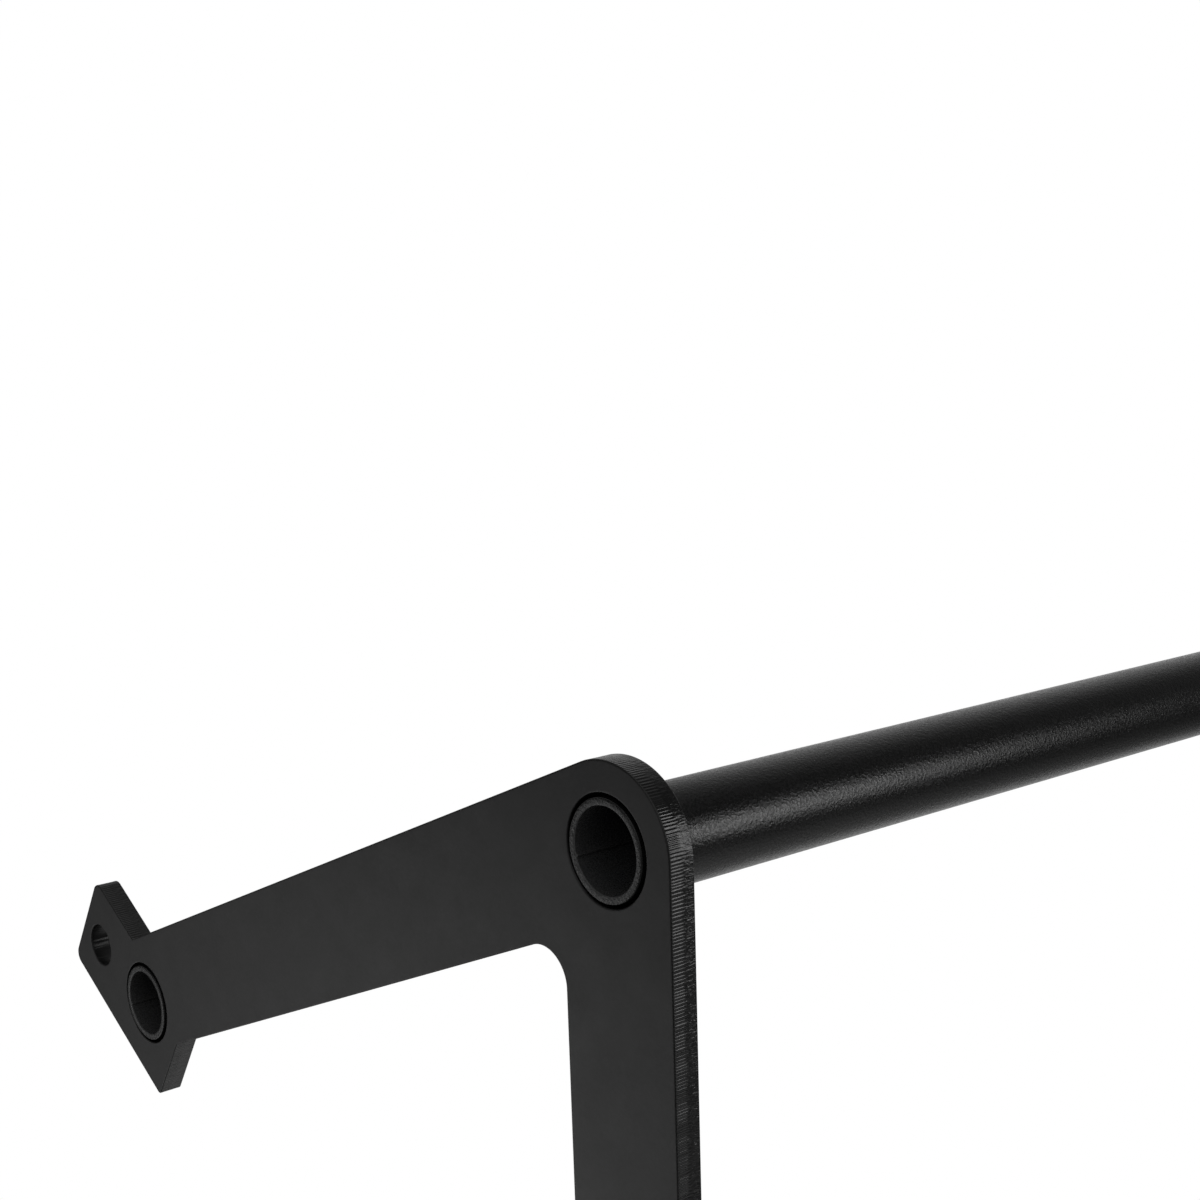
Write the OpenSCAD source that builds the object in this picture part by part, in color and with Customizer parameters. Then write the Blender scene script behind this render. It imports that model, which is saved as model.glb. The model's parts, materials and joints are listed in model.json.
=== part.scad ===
// Bolt-on pull up bar.
// Two V-shaped plate brackets carry a grip bar at the apex and a cross bar at each foot.
// The bars pass through clearance holes and are welded to the inner face of each plate.
// X runs along the bars, Y points from the grip bar to the mounting face, Z is up.
// The origin is at the middle of the mounting face.

/* [Bracket plates] */
// Distance between the outer faces of the two plates
plate_span = 1200; // [900:10:1800]
// Thickness of each plate
plate_thickness = 10; // [6:0.5:12]
// Width of each arm of the V
arm_width = 50; // [48:0.5:56]
// Distance from a bar's axis to the outer edge of the arm
arm_outer_margin = 28.6; // [26:0.1:30]
// Radius of the fillet inside the V
arm_fillet_radius = 12; // [6:1:30]
// Distance from the grip bar's axis to the mounting face
reach = 315; // [260:5:400]

/* [Feet] */
// Height of a bracket, from the end of one foot to the end of the other
foot_span = 500; // [490:2:520]
// Length of each foot along the mounting face
foot_length = 88; // [84:1:96]
// Depth of each foot, square to the mounting face
foot_depth = 50; // [48:1:60]
// Radius of the two corners at the free end of a foot
foot_end_radius = 5; // [2:0.5:6]
// Radius of the two corners at the inner end of a foot
foot_inner_radius = 2; // [1:0.5:6]

/* [Bolt holes] */
// Diameter of the bolt hole in each foot
bolt_hole_diameter = 19; // [14:0.5:20]
// Distance from the mounting face to the bolt hole's axis
bolt_hole_setback = 24; // [20:0.5:28]
// Distance from the end of the foot to the bolt hole's axis
bolt_hole_end_margin = 16.5; // [15:0.5:20]

/* [Bars] */
// Outer diameter of all three bars
tube_diameter = 33.7; // [30:0.1:35]
// Wall thickness of the bars
tube_wall = 2.6; // [2:0.1:4]
// How far the tube ends stand out past the outer faces of the plates
tube_protrusion = 0.5; // [0.5:0.5:4]
// Diameter of the holes in the plates that the bars pass through
tube_hole_diameter = 36.4; // [36:0.1:38]
// Distance from the mounting face to the axes of the two cross bars
cross_bar_setback = 32; // [30:0.5:34]
// Distance between the axes of the two cross bars
cross_bar_spacing = 380; // [370:2:384]

/* [Welds] */
// Leg length of the fillet welds
weld_leg = 6; // [4:0.5:8]
// How far a weld's face stands out beyond a flat fillet
weld_crown = 0.8; // [0.2:0.1:1.5]
// Depth of weld metal in the gap between a tube and its hole
weld_root_depth = 2; // [1:0.5:4]

/* [Hidden] */
$fn = 96;

PLATE_BLACK = "#2a2a2b";
TUBE_BLACK = "#1c1c1d";
WELD_BLACK = "#242425";

// Sides of the object: left and right along X, upper and lower along Z
LEFT = -1;
RIGHT = 1;
LOWER = -1;
UPPER = 1;

outer_face_x = plate_span / 2;
inner_face_x = outer_face_x - plate_thickness;
tube_radius = tube_diameter / 2;
tube_length = plate_span + 2 * tube_protrusion;
arm_inner_margin = arm_width - arm_outer_margin;

// Axes of the bars in the Y-Z plane
grip_axis = [-reach, 0];
function cross_axis(side) = [-cross_bar_setback, side * cross_bar_spacing / 2];

// Half the angle of the V, and the length of an arm from bar axis to bar axis
arm_run = reach - cross_bar_setback;
arm_rise = cross_bar_spacing / 2;
arm_half_angle = atan2(arm_rise, arm_run);
arm_length = norm([arm_run, arm_rise]);

// The round apex stands this far past the arms' edges, so that it crosses them cleanly
apex_overlap = 0.01;

foot_top = foot_span / 2;
foot_bottom = foot_top - foot_length;
bolt_hole_z = foot_top - bolt_hole_end_margin;

// ---- bracket plates -------------------------------------------------------

// One arm of the V, from the grip bar's axis to a cross bar's axis
module arm(side) {
    edge = side == UPPER ? -arm_inner_margin : -arm_outer_margin;
    translate(grip_axis)
        rotate(side * arm_half_angle)
            translate([0, edge])
                square([arm_length, arm_width]);
}

// Corner fill that rounds the inside of the V
module inner_fillet() {
    centre_y = (arm_inner_margin + arm_fillet_radius) / sin(arm_half_angle);
    touch_y = centre_y - arm_fillet_radius * sin(arm_half_angle);
    touch_z = arm_fillet_radius * cos(arm_half_angle);
    translate(grip_axis)
        difference() {
            polygon([[0, 0], [touch_y, -touch_z], [touch_y, touch_z]]);
            translate([centre_y, 0])
                circle(r = arm_fillet_radius);
        }
}

// Foot with rounded corners; its long edge lies on the mounting face
module foot() {
    end = foot_end_radius;
    inner = foot_inner_radius;
    polygon([
        [-inner, foot_bottom], [0, foot_bottom + inner],
        [0, foot_top - end], [-end, foot_top],
        [end - foot_depth, foot_top], [-foot_depth, foot_top - end],
        [-foot_depth, foot_bottom + inner], [inner - foot_depth, foot_bottom]
    ]);
    for (y = [-end, end - foot_depth])
        translate([y, foot_top - end])
            circle(r = end);
    for (y = [-inner, inner - foot_depth])
        translate([y, foot_bottom + inner])
            circle(r = inner);
}

// Holes for the cross bar and the bolt in one foot
module foot_holes(side) {
    translate(cross_axis(side))
        circle(d = tube_hole_diameter);
    translate([-bolt_hole_setback, side * bolt_hole_z])
        circle(d = bolt_hole_diameter);
}

// Outline of a bracket in the Y-Z plane, cut from one sheet
module bracket_outline() {
    difference() {
        union() {
            translate(grip_axis)
                circle(r = arm_outer_margin + apex_overlap);
            inner_fillet();
            foot();
            mirror([0, 1])
                foot();
            arm(UPPER);
            arm(LOWER);
        }
        translate(grip_axis)
            circle(d = tube_hole_diameter);
        foot_holes(UPPER);
        foot_holes(LOWER);
    }
}

module side_plate(side) {
    color(PLATE_BLACK)
        translate([side == LEFT ? -outer_face_x : inner_face_x, 0, 0])
            rotate([90, 0, 90])
                linear_extrude(height = plate_thickness)
                    bracket_outline();
}

module left_side_plate() {
    side_plate(LEFT);
}

module right_side_plate() {
    side_plate(RIGHT);
}

// ---- bars -----------------------------------------------------------------

// Straight open-ended tube along X through the given point of the Y-Z plane
module bar(axis) {
    color(TUBE_BLACK)
        translate([0, axis.x, axis.y])
            rotate([0, 90, 0])
                difference() {
                    cylinder(d = tube_diameter, h = tube_length, center = true);
                    cylinder(d = tube_diameter - 2 * tube_wall, h = tube_length + 2, center = true);
                }
}

module grip_bar() {
    bar(grip_axis);
}

module upper_cross_bar() {
    bar(cross_axis(UPPER));
}

module lower_cross_bar() {
    bar(cross_axis(LOWER));
}

// ---- welds ----------------------------------------------------------------

// Section of a fillet weld: radius from the tube's axis, height from the plate's inner face
module weld_section() {
    middle = weld_leg / 2 + weld_crown;
    polygon([
        [tube_radius, -weld_root_depth],
        [tube_hole_diameter / 2, -weld_root_depth],
        [tube_hole_diameter / 2, 0],
        [tube_radius + weld_leg, 0],
        [tube_radius + middle, middle],
        [tube_radius, weld_leg]
    ]);
}

// Ring of weld that joins a bar to the inner face of one plate
module weld_ring(axis, side) {
    color(WELD_BLACK)
        translate([side * inner_face_x, axis.x, axis.y])
            rotate([0, -side * 90, 0])
                rotate_extrude()
                    weld_section();
}

module grip_bar_weld_left() {
    weld_ring(grip_axis, LEFT);
}

module grip_bar_weld_right() {
    weld_ring(grip_axis, RIGHT);
}

module upper_cross_bar_weld_left() {
    weld_ring(cross_axis(UPPER), LEFT);
}

module upper_cross_bar_weld_right() {
    weld_ring(cross_axis(UPPER), RIGHT);
}

module lower_cross_bar_weld_left() {
    weld_ring(cross_axis(LOWER), LEFT);
}

module lower_cross_bar_weld_right() {
    weld_ring(cross_axis(LOWER), RIGHT);
}

left_side_plate();
right_side_plate();
grip_bar();
upper_cross_bar();
lower_cross_bar();
grip_bar_weld_left();
grip_bar_weld_right();
upper_cross_bar_weld_left();
upper_cross_bar_weld_right();
lower_cross_bar_weld_left();
lower_cross_bar_weld_right();
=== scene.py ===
"""Looks of the bolt-on pull up bar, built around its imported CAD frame. All lengths are in metres."""

import json
import math

import bmesh
import bpy
import numpy as np
from mathutils import Matrix, Vector, noise
from mathutils.geometry import delaunay_2d_cdt


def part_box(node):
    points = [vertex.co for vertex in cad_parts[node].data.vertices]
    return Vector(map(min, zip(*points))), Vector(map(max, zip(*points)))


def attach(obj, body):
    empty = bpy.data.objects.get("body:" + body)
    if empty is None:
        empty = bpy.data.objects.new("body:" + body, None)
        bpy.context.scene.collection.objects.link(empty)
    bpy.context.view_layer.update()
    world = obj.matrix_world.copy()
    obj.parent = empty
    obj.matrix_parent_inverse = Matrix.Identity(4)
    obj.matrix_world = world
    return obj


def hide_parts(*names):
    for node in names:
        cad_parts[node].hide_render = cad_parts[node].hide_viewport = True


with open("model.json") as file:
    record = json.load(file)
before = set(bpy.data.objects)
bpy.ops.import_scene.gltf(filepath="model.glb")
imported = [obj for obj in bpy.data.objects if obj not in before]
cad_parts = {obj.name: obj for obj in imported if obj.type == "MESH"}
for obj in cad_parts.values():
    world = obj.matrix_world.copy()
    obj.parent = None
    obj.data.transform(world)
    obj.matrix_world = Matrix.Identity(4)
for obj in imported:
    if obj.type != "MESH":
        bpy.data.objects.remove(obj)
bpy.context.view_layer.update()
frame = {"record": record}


# ---- sizes that the frame doesn't give --------------------------------------

# Bracket plates, as in the CAD source
ARM_WIDTH = 0.050
ARM_FILLET_RADIUS = 0.012
FOOT_LENGTH = 0.088
FOOT_DEPTH = 0.050
FOOT_END_RADIUS = 0.005
FOOT_INNER_RADIUS = 0.002
TUBE_HOLE_RADIUS = 0.0182

# Laser-cut edge of a plate: rounding at both faces, and ridges across the cut
EDGE_ROUNDING = 0.00045
EDGE_ROUNDING_STEPS = 5
FACE_RIM = 0.0004
CUT_STEP = 0.0005
CUT_ROWS = 7
RIDGE_PITCH = 0.0011
RIDGE_DEPTH = 0.00006
RIDGE_BUMP = 0.00005
HOLE_RIDGE_SHARE = 0.3
CUT_LEAD_WIDTH = 0.0006
CUT_LEAD_HEIGHT = 0.00035
BOLT_HOLE_LEAD_ANGLE = 50.0
TUBE_HOLE_LEAD_ANGLE = 200.0

# How the ridges vary across the cut, as shares of the thickness, noise rates per metre and heights
COARSE_START = 0.35
COARSE_BLEND = 0.3
COARSE_PITCH_RATE = 0.6
COARSE_DEPTH_RATE = 700
COARSE_HEIGHT = 1.3
COARSE_SEED = 9
FINE_DEPTH_RATE = 60
WAVE_LENGTH_RATE = 90
WAVE_DEPTH_RATE = 120
WAVE_HEIGHT = 0.5
WAVE_SEED = 5
RIDGE_SINK = 0.8
SEEDS_PER_RIM = 20

# The same ridges in the shader: slope where an edge begins, even lines and ragged ones
EDGE_TILT = (0.3, 0.7)
LINE_DRIFT_SIZE = 0.008
LINE_DRIFT_TURNS = 2.0
RAGGED_SIZE = 0.0008
RAGGED_STRETCH = 0.25
RAGGED_SPAN = (0.2, 0.8)
RAGGED_HEIGHT = 1.6
RAGGED_SHARE = 0.35
RAGGED_BLEND = 0.25

# Bars: wall, rounded saw-cut ends, and the weld seam inside the bore
TUBE_WALL = 0.0026
TUBE_END_ROUNDING = 0.0004
TUBE_END_STEPS = 4
TUBE_COLUMNS = 192
OUTER_ROWS = 25
BORE_ROWS = 80
SEAM_ANGLE = 40.0
SEAM_WIDTH = 0.0018
SEAM_HEIGHT = 0.0008
SEAM_COLUMNS = 13
SEAM_CLEARANCE = 1.2
SEAM_SWELL = 0.25
SEAM_SWELL_RATE = 25
BAR_PLACE_RATE = 10
BORE_SHADE = 8.0

# Fillet welds between the bars and the plates
WELD_LEG = 0.0057
WELD_CROWN = 0.0007
WELD_ROOT_DEPTH = 0.002
WELD_RIPPLES = 52
WELD_RIPPLE_HEIGHT = 0.00022
WELD_RIPPLE_BOW = 2.2
WELD_RIPPLE_FADE = 0.6
WELD_RIPPLE_DRIFT = 0.8
WELD_DRIFT_RATE = 6
WELD_DRIFT_SEED = 3
WELD_WANDER = 0.05
WELD_WANDER_RATE = 3
WELD_COLUMNS = 624
WELD_ROWS = 16

# Powder coat: sizes of its clouds, specks and smudges, and how far they and wear move it
NOISE_SPAN = (0.3, 0.7)
NARROW_SPAN = (0.35, 0.65)
CLOUD_SIZE = 0.04
CLOUD_SHADES = (0.93, 1.07)
SPECK_SIZE = 0.0015
SPECK_SHADES = (0.92, 1.08)
SMUDGE_SIZE = 0.015
SMUDGE_GLOSS = 0.02
RUB_SHARES = (0.2, 0.9)
RUB_GLOSS = 0.06
CUT_EDGE_GLOSS = 0.12

# The camera: where it stands, its heading from +Y towards +X, its pitch and its roll.
# Its place, angles and lens are the result of a least-squares fit of the outline.
CAMERA_PLACE = (-0.96031, -0.67441, -0.26091)
CAMERA_HEADING = 47.41
CAMERA_PITCH = 29.86
CAMERA_ROLL = -40.59
CAMERA_LENS = 56.113
CAMERA_SENSOR = 36.0
CAMERA_SHIFT_UP = 0.11667
CAMERA_NEAR = 0.01

# Radiance of the room, and of wide panels far away as (direction, radiance). The first seven
# directions are points of a computed lattice that a least-squares fit picked, and their radiances
# started from such fits and were then changed. The last seven were given one by one.
ROOM_RADIANCE = 0.035
PANEL_CORE = 10.0
PANEL_EDGE = 34.0
FAR_PANELS = {
    "high_right": ((0.75, 0.28, 0.60), 0.5),
    "back_right": ((0.75, 0.63, 0.21), 0.5),
    "back": ((0.49, 0.86, -0.17), 0.2),
    "back_low": ((0.14, 0.82, -0.55), 0.25),
    "low": ((0.42, 0.46, -0.79), 0.36),
    "high_front": ((0.57, -0.36, 0.74), 0.2),
    "front_left": ((-0.64, -0.77, 0.02), 0.4),
    "left": ((-1.0, -0.2, 0.1), 0.3),
    "right": ((1.0, -0.1, 0.15), 0.1),
    "top": ((0.0, -0.1, 1.0), 0.35),
    "bottom": ((0.0, 0.0, -1.0), 0.3),
    "front": ((0.0, -1.0, 0.15), 0.4),
    "front_high": ((0.0, -0.7, 0.7), 0.25),
    "front_low": ((0.0, -0.7, -0.7), 0.3),
}

# Softboxes near the left bracket as (focus, direction, distance, side, radiance). The directions
# of key_upper, side_low, side_middle and side_back are points of a computed grid, and the others
# were given one by one. Their radiances started from fits too and were then changed.
GRIP_FOCUS = (-0.5, -0.315, 0.0)
PLATE_FOCUS = (-0.6, -0.2, 0.05)
SOFTBOXES = {
    "key": (GRIP_FOCUS, (0.56, -0.54, -0.63), 0.9, 0.35, 1.8),
    "key_upper": (GRIP_FOCUS, (0.63, -0.60, -0.50), 0.8, 0.15, 4.8),
    "key_front": (GRIP_FOCUS, (0.50, -0.62, -0.60), 0.9, 0.15, 1.6),
    "key_right": (GRIP_FOCUS, (0.62, -0.45, -0.64), 0.9, 0.15, 4.2),
    "side_low": (PLATE_FOCUS, (-0.59, 0.77, 0.24), 1.55, 0.5, 0.75),
    "side_middle": (PLATE_FOCUS, (-0.53, 0.69, 0.49), 1.5, 0.5, 0.6),
    "side_back": (PLATE_FOCUS, (-0.36, 0.90, 0.23), 1.6, 0.5, 0.9),
    "side_high": (PLATE_FOCUS, (-0.63, 0.63, 0.45), 1.6, 0.3, 0.6),
}

# The floor: how far it lies under the middle of the object, its size, and how it fades to white
FLOOR_DROP = 2.2
FLOOR_RADIUS = 80.0
FLOOR_SIDES = 96
FLOOR_PATCH_SIZE = 0.6
FLOOR_SHADES = (0.86, 0.9)
FLOOR_ROUGHNESS = 0.9
FLOOR_GLOW = 0.62
FLOOR_FADE = (3.0, 15.0)


# ---- places read from the frame ---------------------------------------------

SIDES = {"left": -1, "right": 1}
BAR_NAMES = ("grip_bar", "upper_cross_bar", "lower_cross_bar")


def bar_axis(name):
    """Y and Z of a bar's axis."""
    low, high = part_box(name)
    middle = (low + high) / 2
    return np.array((middle.y, middle.z))


plate_low, plate_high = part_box("left_side_plate")
bar_low, bar_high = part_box("grip_bar")
bar_axes = {name: bar_axis(name) for name in BAR_NAMES}
bar_radius = (bar_high.z - bar_low.z) / 2
bar_half_length = bar_high.x
outer_face = -plate_low.x
inner_face = -plate_high.x
plate_thickness = outer_face - inner_face

bolt_mounts = [mount for mount in frame["record"]["mounts"] if mount["kind"] == "bore"]


# ---- outlines in the Y-Z plane ----------------------------------------------

def arc(centre, radius, start, end):
    """Points of an arc from one angle to another, in degrees, both ends included."""
    count = max(2, math.ceil(radius * math.radians(abs(end - start)) / CUT_STEP))
    angles = np.radians(np.linspace(start, end, count + 1))
    return np.array(centre) + radius * np.column_stack((np.cos(angles), np.sin(angles)))


def hole(centre, radius):
    """Points of a hole's rim, clockwise."""
    return arc(centre, radius, 360, 0)[:-1]


def filled(points):
    """The closed outline with points added where two neighbours are more than a step apart."""
    made = []
    for here, there in zip(points, np.roll(points, -1, axis=0)):
        count = max(1, round(np.linalg.norm(there - here) / CUT_STEP))
        share = np.arange(count)[:, None] / count
        made.append(here + (there - here) * share)
    return np.concatenate(made)


def bracket_outline():
    """Counter-clockwise outline of a bracket plate."""
    grip_y, grip_z = bar_axes["grip_bar"]
    cross_y, cross_z = bar_axes["upper_cross_bar"]
    half_angle = math.atan2(cross_z - grip_z, cross_y - grip_y)
    sine, cosine = math.sin(half_angle), math.cos(half_angle)
    outer_margin = grip_y - plate_low.y
    inner_margin = ARM_WIDTH - outer_margin
    foot_top = plate_high.z
    foot_bottom = foot_top - FOOT_LENGTH

    fillet_centre = (grip_y + (inner_margin + ARM_FILLET_RADIUS) / sine, grip_z)
    inner_run = (foot_bottom + inner_margin * cosine) / sine
    inner_corner = (grip_y + inner_margin * sine + inner_run * cosine, foot_bottom)
    outer_run = (-FOOT_DEPTH - grip_y + outer_margin * sine) / cosine
    outer_corner = (-FOOT_DEPTH, outer_margin * cosine + outer_run * sine)
    tangent = 90 + math.degrees(half_angle)

    upper_half = np.concatenate([
        arc(fillet_centre, ARM_FILLET_RADIUS, 180, tangent),
        [inner_corner],
        arc((-FOOT_INNER_RADIUS, foot_bottom + FOOT_INNER_RADIUS), FOOT_INNER_RADIUS, -90, 0),
        arc((-FOOT_END_RADIUS, foot_top - FOOT_END_RADIUS), FOOT_END_RADIUS, 0, 90),
        arc((FOOT_END_RADIUS - FOOT_DEPTH, foot_top - FOOT_END_RADIUS), FOOT_END_RADIUS, 90, 180),
        [outer_corner],
        arc((grip_y, grip_z), outer_margin, tangent, 180),
    ])
    lower_half = upper_half[::-1] * (1, -1)
    return filled(np.concatenate([upper_half[:-1], lower_half[:-1]]))


def outward(points):
    """Direction out of the metal at each rim point, long enough at corners to keep edges parallel."""
    step = np.roll(points, -1, axis=0) - points
    ahead = np.column_stack((step[:, 1], -step[:, 0]))
    ahead /= np.linalg.norm(ahead, axis=1)[:, None]
    behind = np.roll(ahead, 1, axis=0)
    between = ahead + behind
    between /= np.linalg.norm(between, axis=1)[:, None]
    return between / np.sum(between * ahead, axis=1)[:, None]


# ---- mesh helpers -----------------------------------------------------------

def grid_faces(rows, columns, first=0, closed_rows=False):
    """Quads between neighbouring rows of points; each row is a closed ring."""
    row = np.arange(rows if closed_rows else rows - 1)[:, None]
    column = np.arange(columns)[None, :]
    next_row = (row + 1) % rows
    next_column = (column + 1) % columns
    corners = (
        row * columns + column,
        row * columns + next_column,
        next_row * columns + next_column,
        next_row * columns + column,
    )
    return (first + np.stack(corners, axis=-1)).reshape(-1, 4).tolist()


def new_piece(name, points, quads, flat_faces=(), **marks):
    """Mesh object with smooth quads and flat caps, facing outwards. Marks are a number for each point."""
    mesh = bpy.data.meshes.new(name)
    mesh.from_pydata(points, [], list(quads) + list(flat_faces))
    smooth = np.ones(len(mesh.polygons), bool)
    smooth[len(quads):] = False
    mesh.polygons.foreach_set("use_smooth", smooth)
    for mark, values in marks.items():
        attribute = mesh.attributes.new(mark, "FLOAT", "POINT")
        attribute.data.foreach_set("value", np.asarray(values, np.float32))
    shape = bmesh.new()
    shape.from_mesh(mesh)
    bmesh.ops.recalc_face_normals(shape, faces=shape.faces)
    shape.to_mesh(mesh)
    shape.free()
    mesh.update()
    piece = bpy.data.objects.new(name, mesh)
    bpy.context.scene.collection.objects.link(piece)
    return piece


def noise_at(*place):
    return noise.noise(Vector(place))


def finish_piece(piece, node_name, material):
    """Puts a detailed piece in the place of its CAD node."""
    piece.data.materials.append(material)
    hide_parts(node_name)
    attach(piece, "root")


# ---- bracket plates ---------------------------------------------------------

def edge_profile():
    """Rows across a plate's edge as (depth from the outer face, inset, 1 where ridged, wear)."""
    rounding = [math.pi / 2 * i / EDGE_ROUNDING_STEPS for i in range(EDGE_ROUNDING_STEPS + 1)]
    near = [(0.0, EDGE_ROUNDING + FACE_RIM, 0, 0)]
    for angle in rounding:
        depth = EDGE_ROUNDING * (1 - math.cos(angle))
        inset = EDGE_ROUNDING * (1 - math.sin(angle))
        near.append((depth, inset, 0, math.sin(2 * angle)))
    cut_depths = np.linspace(EDGE_ROUNDING, plate_thickness - EDGE_ROUNDING, CUT_ROWS + 2)[1:-1]
    cut = [(depth, 0.0, 1, 0) for depth in cut_depths]
    far = [(plate_thickness - depth, inset, ridges, wear) for depth, inset, ridges, wear in near]
    return near + cut + far[::-1]


def ridge(distance, depth, seed):
    """Offset of the cut's ridges from the rim: fine near the outer face, coarse near the inner."""
    coarse = min(1.0, max(0.0, (depth / plate_thickness - COARSE_START) / COARSE_BLEND))
    fine_part = noise_at(distance / RIDGE_PITCH, depth * FINE_DEPTH_RATE, seed)
    coarse_run = distance / RIDGE_PITCH * COARSE_PITCH_RATE
    coarse_part = noise_at(coarse_run, depth * COARSE_DEPTH_RATE, seed + COARSE_SEED)
    waves = noise_at(distance * WAVE_LENGTH_RATE, depth * WAVE_DEPTH_RATE, seed + WAVE_SEED)
    mixed = (1 - coarse) * fine_part + coarse * COARSE_HEIGHT * coarse_part
    return RIDGE_DEPTH * (mixed + WAVE_HEIGHT * waves - RIDGE_SINK)


def lead_in(points, centre, angle):
    """Height, at each point of a round rim, of the small ridge where the cut began and ended."""
    spoke = np.array((math.cos(math.radians(angle)), math.sin(math.radians(angle))))
    offset = points - centre
    across = np.abs(offset[:, 0] * spoke[1] - offset[:, 1] * spoke[0])
    ahead = offset @ spoke > 0
    bump = np.clip(1 - across / CUT_LEAD_WIDTH, 0, 1)
    return CUT_LEAD_HEIGHT * np.where(ahead, bump * bump * (3 - 2 * bump), 0)


def cap_faces(rings):
    """Triangles between the rims of a plate's face, each rim given as (first point's number, points)."""
    numbers, owners, corners, edges = [], [], [], []
    for owner, (first, ring) in enumerate(rings):
        start = len(corners)
        count = len(ring)
        numbers += range(first, first + count)
        owners += [owner] * count
        corners += [Vector(place) for place in ring]
        edges += [(start + i, start + (i + 1) % count) for i in range(count)]
    inside_outline = 1
    tolerance = 1e-9
    result = delaunay_2d_cdt(corners, edges, [], inside_outline, tolerance)
    faces, sources = result[2], result[3]
    kept = []
    for face in faces:
        picked = [sources[i][0] for i in face]
        touched = {owners[i] for i in picked}
        fills_hole = len(touched) == 1 and touched != {0}
        if not fills_hole:
            kept.append([numbers[i] for i in picked])
    return kept


def side_plate(side, material):
    """A bracket plate with rounded, laser-cut edges and its five holes."""
    rims = [(bracket_outline(), None)]
    for axis in bar_axes.values():
        rims.append((hole(axis, TUBE_HOLE_RADIUS), (axis, TUBE_HOLE_LEAD_ANGLE)))
    for mount in bolt_mounts:
        if mount["name"].startswith(side):
            centre = np.array(mount["pos_m"][1:])
            angle = math.copysign(BOLT_HOLE_LEAD_ANGLE, centre[1])
            rims.append((hole(centre, mount["dims"]["r_mm"] / 1000), (centre, angle)))

    profile = edge_profile()
    points, quads, wear, along, strengths = [], [], [], [], []
    caps = {0: [], len(profile) - 1: []}
    for seed, (rim, lead) in enumerate(rims):
        away = outward(rim)
        steps = np.linalg.norm(np.roll(rim, -1, axis=0) - rim, axis=1)
        distances = np.concatenate(([0], np.cumsum(steps)[:-1]))
        height = 0 if lead is None else lead_in(rim, *lead)
        strength = 1.0 if lead is None else HOLE_RIDGE_SHARE
        first = len(points)
        quads += grid_faces(len(profile), len(rim), first)
        for row, (depth, inset, ridges, row_wear) in enumerate(profile):
            x = SIDES[side] * (outer_face - depth)
            offset = np.full(len(rim), -inset)
            if ridges:
                rim_seed = seed * SEEDS_PER_RIM
                offset += [strength * ridge(distance, depth, rim_seed) for distance in distances]
                offset += height
            placed = rim + away * offset[:, None]
            if row in caps:
                caps[row].append((first + row * len(rim), placed))
            points += [(x, y, z) for y, z in placed]
            wear += [row_wear] * len(rim)
            along += list(distances)
            strengths += [strength] * len(rim)

    triangles = [triangle for rings in caps.values() for triangle in cap_faces(rings)]
    name = f"{side}_side_plate"
    marks = {"edge_wear": wear, "cut_distance": along, "cut_strength": strengths}
    piece = new_piece(f"{name}_finished", points, quads, triangles, **marks)
    finish_piece(piece, name, material)


# ---- bars -------------------------------------------------------------------

def seam_height(angle):
    """Height of the weld seam inside the bore at an angle round the bar's axis."""
    bore_radius = bar_radius - TUBE_WALL
    turn = (angle - math.radians(SEAM_ANGLE) + math.pi) % (2 * math.pi) - math.pi
    share = max(0.0, 1 - abs(turn) * bore_radius / (SEAM_WIDTH / 2))
    return SEAM_HEIGHT * share * share * (3 - 2 * share)


def bar_angles():
    """Angles round a bar, closer together across the seam."""
    even = np.arange(TUBE_COLUMNS) * 2 * math.pi / TUBE_COLUMNS
    seam = math.radians(SEAM_ANGLE)
    reach = SEAM_WIDTH / (bar_radius - TUBE_WALL) / 2
    fine = np.linspace(seam - reach, seam + reach, SEAM_COLUMNS)
    clear = np.abs(even - seam) > reach * SEAM_CLEARANCE
    return np.sort(np.concatenate((even[clear], fine)))


def bar_profile():
    """Closed profile of a bar's wall as (x, radius, 1 inside the bore, wear)."""
    bore_radius = bar_radius - TUBE_WALL
    soft = TUBE_END_ROUNDING
    angles = [math.pi / 2 * i / TUBE_END_STEPS for i in range(TUBE_END_STEPS + 1)]
    outer_end, bore_end = [], []
    for angle in angles:
        back = soft * (1 - math.sin(angle))
        down = soft * (1 - math.cos(angle))
        outer_end.append((bar_half_length - back, bar_radius - down, 0, math.sin(2 * angle)))
        bore_end.append((bar_half_length - back, bore_radius + down, 1, math.sin(2 * angle)))
    outer_places = np.linspace(-1, 1, OUTER_ROWS)[1:-1] * bar_half_length
    bore_places = np.linspace(1, -1, BORE_ROWS)[1:-1] * bar_half_length
    outer_run = [(x, bar_radius, 0, 0) for x in outer_places]
    bore_run = [(x, bore_radius, 1, 0) for x in bore_places]
    right_end = outer_end + bore_end[::-1]
    left_end = [(-x, radius, in_bore, wear) for x, radius, in_bore, wear in right_end[::-1]]
    return outer_run + right_end + bore_run + left_end


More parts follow.
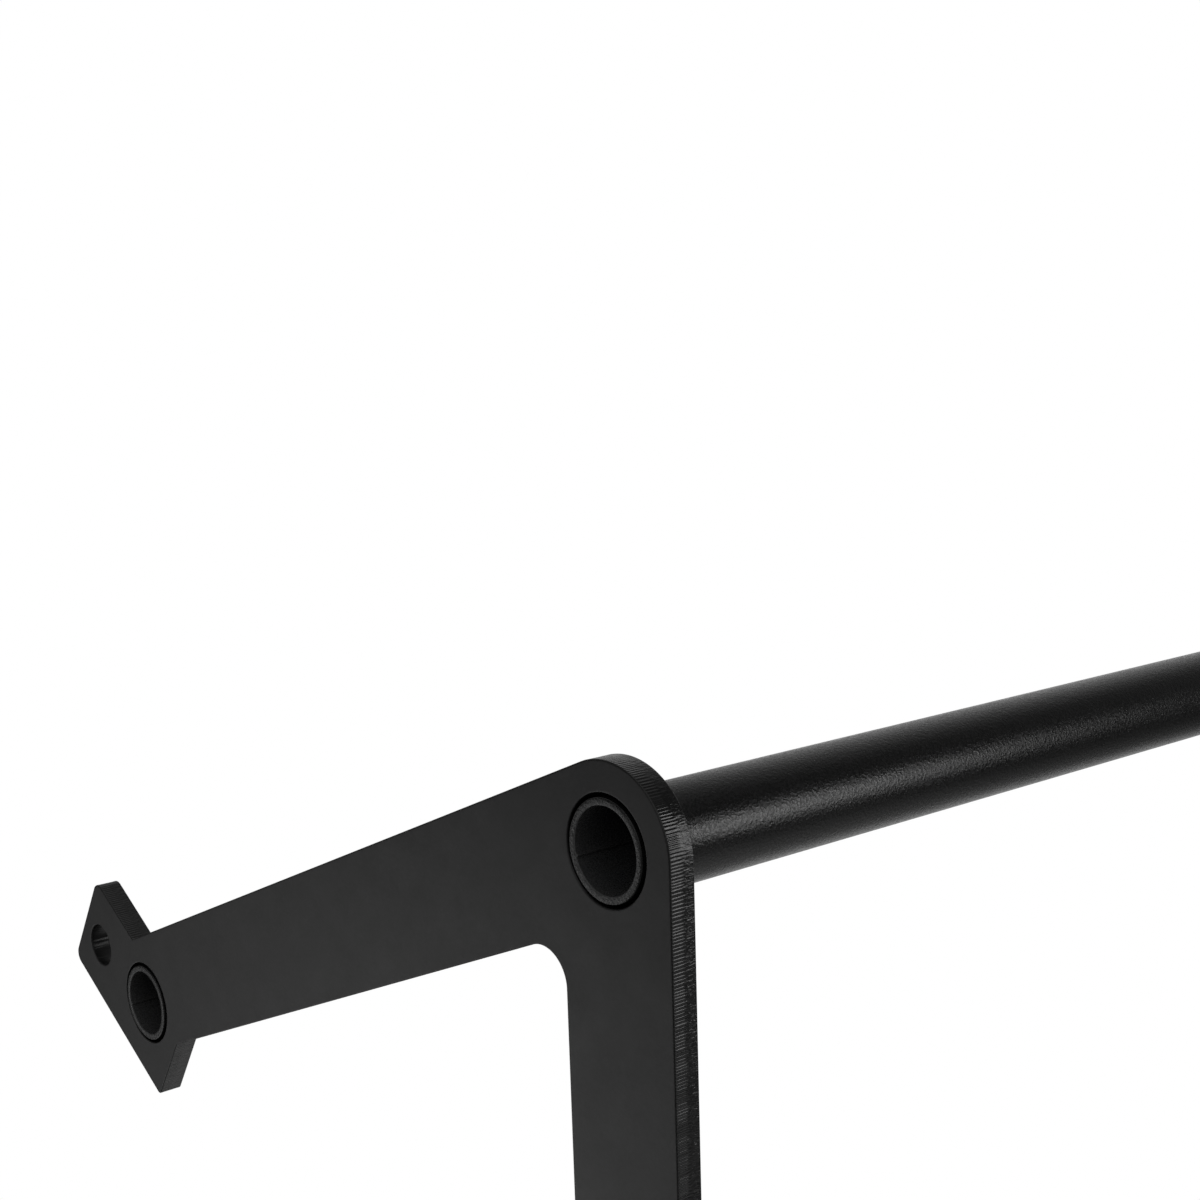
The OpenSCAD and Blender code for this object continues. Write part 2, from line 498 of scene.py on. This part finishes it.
def bar(name, material):
    """Open tube along X with rounded ends and the seam of its own weld inside."""
    y, z = bar_axes[name]
    angles = bar_angles()
    profile = bar_profile()
    points, wear, inside = [], [], []
    for x, radius, in_bore, row_wear in profile:
        place = (x * SEAM_SWELL_RATE, y * BAR_PLACE_RATE, z * BAR_PLACE_RATE)
        swell = 1 + SEAM_SWELL * noise_at(*place)
        for angle in angles:
            r = radius - in_bore * swell * seam_height(angle)
            points.append((x, y + r * math.cos(angle), z + r * math.sin(angle)))
        wear += [row_wear] * len(angles)
        inside += [in_bore] * len(angles)
    quads = grid_faces(len(profile), len(angles), closed_rows=True)
    piece = new_piece(f"{name}_finished", points, quads, edge_wear=wear, in_bore=inside)
    finish_piece(piece, name, material)


# ---- welds ------------------------------------------------------------------

def weld_face(share, angle, seed):
    """Radius and height of the bead's face, from the toe on the plate (0) to the toe on the bar (1)."""
    around = Vector((math.cos(angle), math.sin(angle)))
    wander_place = around * WELD_WANDER_RATE
    drift_place = around * WELD_DRIFT_RATE
    wander = 1 + WELD_WANDER * noise_at(*wander_place, seed)
    leg = WELD_LEG * min(1.0, wander)
    bow = 4 * share * (1 - share)
    drift = WELD_RIPPLE_DRIFT * noise_at(*drift_place, seed + WELD_DRIFT_SEED)
    phase = WELD_RIPPLES * angle + WELD_RIPPLE_BOW * bow + drift
    ripple = WELD_RIPPLE_HEIGHT * math.sin(phase) * bow ** WELD_RIPPLE_FADE
    proud = WELD_CROWN * bow + ripple - WELD_RIPPLE_HEIGHT * bow
    lean = proud / math.sqrt(2)
    return bar_radius + leg * (1 - share) + lean, leg * share + lean


def weld(bar_name, side, material):
    """Rippled fillet bead that joins a bar to the inner face of a plate."""
    node_name = f"{bar_name}_weld_{side}"
    y, z = bar_axes[bar_name]
    seed = 10 * BAR_NAMES.index(bar_name) + SIDES[side]
    root = [
        (bar_radius, -WELD_ROOT_DEPTH),
        (TUBE_HOLE_RADIUS, -WELD_ROOT_DEPTH),
        (TUBE_HOLE_RADIUS, 0),
    ]
    columns = np.arange(WELD_COLUMNS) * 2 * math.pi / WELD_COLUMNS
    points = []
    for radius, height in root:
        points += [(height, radius, angle) for angle in columns]
    for share in np.linspace(0, 1, WELD_ROWS):
        for angle in columns:
            radius, height = weld_face(share, angle, seed)
            points.append((height, radius, angle))
    placed = [
        (SIDES[side] * (inner_face - height), y + r * math.cos(angle), z + r * math.sin(angle))
        for height, r, angle in points
    ]
    quads = grid_faces(len(root) + WELD_ROWS, WELD_COLUMNS, closed_rows=True)
    piece = new_piece(f"{node_name}_bead", placed, quads)
    finish_piece(piece, node_name, material)


# ---- materials --------------------------------------------------------------

class Graph:
    """Small helper that adds nodes to a node tree and links them."""

    def __init__(self, tree):
        self.tree = tree
        tree.nodes.clear()

    def add(self, kind, inputs=None, **settings):
        made = self.tree.nodes.new(kind)
        for key, value in settings.items():
            setattr(made, key, value)
        for key, value in (inputs or {}).items():
            if isinstance(value, bpy.types.NodeSocket):
                self.tree.links.new(value, made.inputs[key])
            else:
                made.inputs[key].default_value = value
        return made

    def noise(self, vector, size, detail=2.0, roughness=0.5):
        """Noise from 0 to 1 whose features are about size across."""
        inputs = {"Vector": vector, "Scale": 1 / size, "Detail": detail, "Roughness": roughness}
        return self.add("ShaderNodeTexNoise", inputs).outputs["Fac"]

    def remap(self, value, from_low, from_high, to_low, to_high):
        inputs = {
            "Value": value,
            "From Min": from_low,
            "From Max": from_high,
            "To Min": to_low,
            "To Max": to_high,
        }
        return self.add("ShaderNodeMapRange", inputs).outputs["Result"]

    def scaled(self, vector, scale):
        inputs = {"Vector": vector, "Scale": scale}
        return self.add("ShaderNodeMapping", inputs).outputs["Vector"]

    def math(self, operation, first, second):
        return self.add("ShaderNodeMath", {0: first, 1: second}, operation=operation).outputs[0]


def powder_coat(name, shade, roughness, grain, grain_depth, grain_gloss, cut_edges=False):
    """Black powder coat: cloudy shade and gloss, fine grain, thinner and smoother on worn edges."""
    material = bpy.data.materials.new(name)
    material.use_nodes = True
    graph = Graph(material.node_tree)
    place = graph.add("ShaderNodeTexCoord").outputs["Object"]
    wear = graph.add("ShaderNodeAttribute", attribute_name="edge_wear").outputs["Fac"]

    clouds = graph.noise(place, CLOUD_SIZE, detail=3)
    specks = graph.noise(place, SPECK_SIZE, detail=1)
    cloud_shade = graph.remap(clouds, *NOISE_SPAN, *CLOUD_SHADES)
    speck_shade = graph.remap(specks, *NOISE_SPAN, *SPECK_SHADES)
    rubbed = graph.math("MULTIPLY", wear, graph.remap(clouds, *NARROW_SPAN, *RUB_SHARES))
    rub_shade = graph.math("ADD", rubbed, 1.0)
    total = graph.math("MULTIPLY", graph.math("MULTIPLY", cloud_shade, speck_shade), rub_shade)
    inside = graph.add("ShaderNodeAttribute", attribute_name="in_bore").outputs["Fac"]
    total = graph.math("MULTIPLY", total, graph.remap(inside, 0.0, 1.0, 1.0, BORE_SHADE))
    colour = graph.add(
        "ShaderNodeVectorMath",
        {0: shade, "Scale": total},
        operation="SCALE",
    ).outputs["Vector"]

    smudges = graph.noise(place, SMUDGE_SIZE, detail=4, roughness=0.6)
    gloss = graph.remap(smudges, *NOISE_SPAN, roughness - SMUDGE_GLOSS, roughness + SMUDGE_GLOSS)
    gloss = graph.math("SUBTRACT", gloss, graph.math("MULTIPLY", rubbed, RUB_GLOSS))

    peel = graph.noise(place, grain, detail=3, roughness=0.6)
    gloss = graph.math("ADD", gloss, graph.remap(peel, *NARROW_SPAN, grain_gloss, -grain_gloss))
    bump = graph.add("ShaderNodeBump", {"Height": peel, "Distance": grain_depth, "Strength": 1.0})
    if cut_edges:
        on_edge = on_cut_edge(graph)
        gloss = graph.math("SUBTRACT", gloss, graph.math("MULTIPLY", on_edge, CUT_EDGE_GLOSS))
        bump = cut_edge_bump(graph, place, on_edge, bump)

    coat = graph.add(
        "ShaderNodeBsdfPrincipled",
        {"Base Color": colour, "Roughness": gloss, "IOR": 1.5, "Normal": bump.outputs["Normal"]},
    )
    graph.add("ShaderNodeOutputMaterial", {"Surface": coat.outputs["BSDF"]})
    return material


def on_cut_edge(graph):
    """1 on the outer cut edges of a plate, less in its holes, 0 on its faces."""
    normal = graph.add("ShaderNodeTexCoord").outputs["Normal"]
    facing = graph.add("ShaderNodeSeparateXYZ", {0: normal})
    off_face = graph.math("ABSOLUTE", facing.outputs["X"], 0.0)
    strength = graph.add("ShaderNodeAttribute", attribute_name="cut_strength").outputs["Fac"]
    return graph.math("MULTIPLY", graph.remap(off_face, *EDGE_TILT, 1.0, 0.0), strength)


def cut_edge_bump(graph, place, on_edge, under):
    """Lines of the laser across the thickness: even near the outer face, ragged near the inner one."""
    along = graph.add("ShaderNodeAttribute", attribute_name="cut_distance").outputs["Fac"]
    drift = graph.noise(graph.scaled(place, (0.0, 1.0, 1.0)), LINE_DRIFT_SIZE, detail=1)
    drifted = graph.math("MULTIPLY", drift, LINE_DRIFT_TURNS)
    turns = graph.math("ADD", graph.math("DIVIDE", along, RIDGE_PITCH), drifted)
    even = graph.math("SINE", graph.math("MULTIPLY", turns, 2 * math.pi), 0.0)
    drawn_out = graph.scaled(place, (RAGGED_STRETCH, 1.0, 1.0))
    patches = graph.noise(drawn_out, RAGGED_SIZE, detail=2, roughness=0.6)
    ragged = graph.remap(patches, *RAGGED_SPAN, -RAGGED_HEIGHT, RAGGED_HEIGHT)
    across = graph.math("ABSOLUTE", graph.add("ShaderNodeSeparateXYZ", {0: place}).outputs["X"], 0.0)
    start = inner_face + RAGGED_SHARE * plate_thickness
    outer_share = graph.remap(across, start, start + RAGGED_BLEND * plate_thickness, 0.0, 1.0)
    height = graph.add("ShaderNodeMix", {0: outer_share, 2: ragged, 3: even}).outputs[0]
    return graph.add("ShaderNodeBump", {
        "Height": graph.math("MULTIPLY", height, on_edge),
        "Distance": RIDGE_BUMP,
        "Strength": 1.0,
        "Normal": under.outputs["Normal"],
    })


# ---- camera, light and floor ------------------------------------------------

def camera():
    heading, pitch, roll = map(math.radians, (CAMERA_HEADING, CAMERA_PITCH, CAMERA_ROLL))
    ahead = Vector((
        math.sin(heading) * math.cos(pitch),
        math.cos(heading) * math.cos(pitch),
        math.sin(pitch),
    ))
    level = ahead.cross(Vector((0, 0, 1))).normalized()
    upright = level.cross(ahead)
    right = level * math.cos(roll) + upright * math.sin(roll)
    up = right.cross(ahead)
    data = bpy.data.cameras.new("camera")
    data.lens = CAMERA_LENS
    data.sensor_width = CAMERA_SENSOR
    data.shift_y = CAMERA_SHIFT_UP
    data.clip_start = CAMERA_NEAR
    made = bpy.data.objects.new("camera", data)
    turn = Matrix((right, up, -ahead)).transposed()
    made.matrix_world = Matrix.Translation(CAMERA_PLACE) @ turn.to_4x4()
    bpy.context.scene.collection.objects.link(made)
    bpy.context.scene.camera = made


def softbox(name, focus, towards, distance, side, radiance):
    """Square light in a direction from the focus, turned to face it."""
    direction = Vector(towards).normalized()
    data = bpy.data.lights.new(name, "AREA")
    data.size = side
    data.energy = radiance * math.pi * side * side
    made = bpy.data.objects.new(name, data)
    made.location = Vector(focus) + direction * distance
    made.rotation_euler = direction.to_track_quat("Z", "Y").to_euler()
    made.visible_camera = False
    bpy.context.scene.collection.objects.link(made)


def studio_world():
    """White to the camera; to the object a dim room with wide soft panels far away."""
    world = bpy.data.worlds.new("studio")
    bpy.context.scene.world = world
    world.use_nodes = True
    graph = Graph(world.node_tree)
    way = graph.add("ShaderNodeTexCoord").outputs["Generated"]
    glow = ROOM_RADIANCE
    for towards, radiance in FAR_PANELS.values():
        aligned = graph.add(
            "ShaderNodeVectorMath", {0: way, 1: Vector(towards).normalized()}, operation="DOT_PRODUCT"
        ).outputs["Value"]
        edge, core = (math.cos(math.radians(angle)) for angle in (PANEL_EDGE, PANEL_CORE))
        glow = graph.math("ADD", graph.remap(aligned, edge, core, 0.0, radiance), glow)
    lit = graph.add("ShaderNodeBackground", {"Color": (1, 1, 1, 1), "Strength": glow})
    white = graph.add("ShaderNodeBackground", {"Color": (1, 1, 1, 1), "Strength": 1.0})
    seen = graph.add("ShaderNodeLightPath").outputs["Is Camera Ray"]
    mixed = graph.add("ShaderNodeMixShader", {0: seen, 1: lit.outputs[0], 2: white.outputs[0]})
    graph.add("ShaderNodeOutputWorld", {"Surface": mixed.outputs[0]})


def floor():
    """Pale round floor that fades to white far away, so that no horizon shows."""
    turns = [2 * math.pi * i / FLOOR_SIDES for i in range(FLOOR_SIDES)]
    rim = [
        (FLOOR_RADIUS * math.cos(turn), FLOOR_RADIUS * math.sin(turn), -FLOOR_DROP)
        for turn in turns
    ]
    mesh = bpy.data.meshes.new("floor")
    mesh.from_pydata(rim, [], [range(len(rim))])
    made = bpy.data.objects.new("floor", mesh)
    bpy.context.scene.collection.objects.link(made)
    material = bpy.data.materials.new("pale_floor")
    material.use_nodes = True
    graph = Graph(material.node_tree)
    place = graph.add("ShaderNodeTexCoord").outputs["Object"]
    shade = graph.remap(graph.noise(place, FLOOR_PATCH_SIZE), 0.0, 1.0, *FLOOR_SHADES)
    away = graph.add("ShaderNodeVectorMath", {0: place}, operation="LENGTH").outputs["Value"]
    paint = graph.add("ShaderNodeBsdfPrincipled", {
        "Base Color": shade,
        "Roughness": FLOOR_ROUGHNESS,
        "Emission Color": (1, 1, 1, 1),
        "Emission Strength": graph.remap(away, *FLOOR_FADE, FLOOR_GLOW, 1.0),
    })
    graph.add("ShaderNodeOutputMaterial", {"Surface": paint.outputs["BSDF"]})
    mesh.materials.append(material)
    made.visible_diffuse = False
    made.visible_glossy = False
    made.visible_shadow = False


# ---- the scene --------------------------------------------------------------

plate_coating = powder_coat(
    "plate_coating",
    shade=(0.008, 0.008, 0.0081),
    roughness=0.40,
    grain=0.0011,
    grain_depth=0.000012,
    grain_gloss=0.02,
    cut_edges=True,
)
bar_coating = powder_coat(
    "bar_coating",
    shade=(0.007, 0.007, 0.0071),
    roughness=0.28,
    grain=0.0011,
    grain_depth=0.00020,
    grain_gloss=0.08,
)
weld_coating = powder_coat(
    "weld_coating",
    shade=(0.008, 0.008, 0.0081),
    roughness=0.40,
    grain=0.0009,
    grain_depth=0.00004,
    grain_gloss=0.04,
)

camera()
for side in SIDES:
    side_plate(side, plate_coating)
    for bar_name in BAR_NAMES:
        weld(bar_name, side, weld_coating)
for bar_name in BAR_NAMES:
    bar(bar_name, bar_coating)

studio_world()
floor()
for box_name, placing in SOFTBOXES.items():
    softbox(box_name, *placing)

bpy.context.scene.view_settings.view_transform = "Standard"
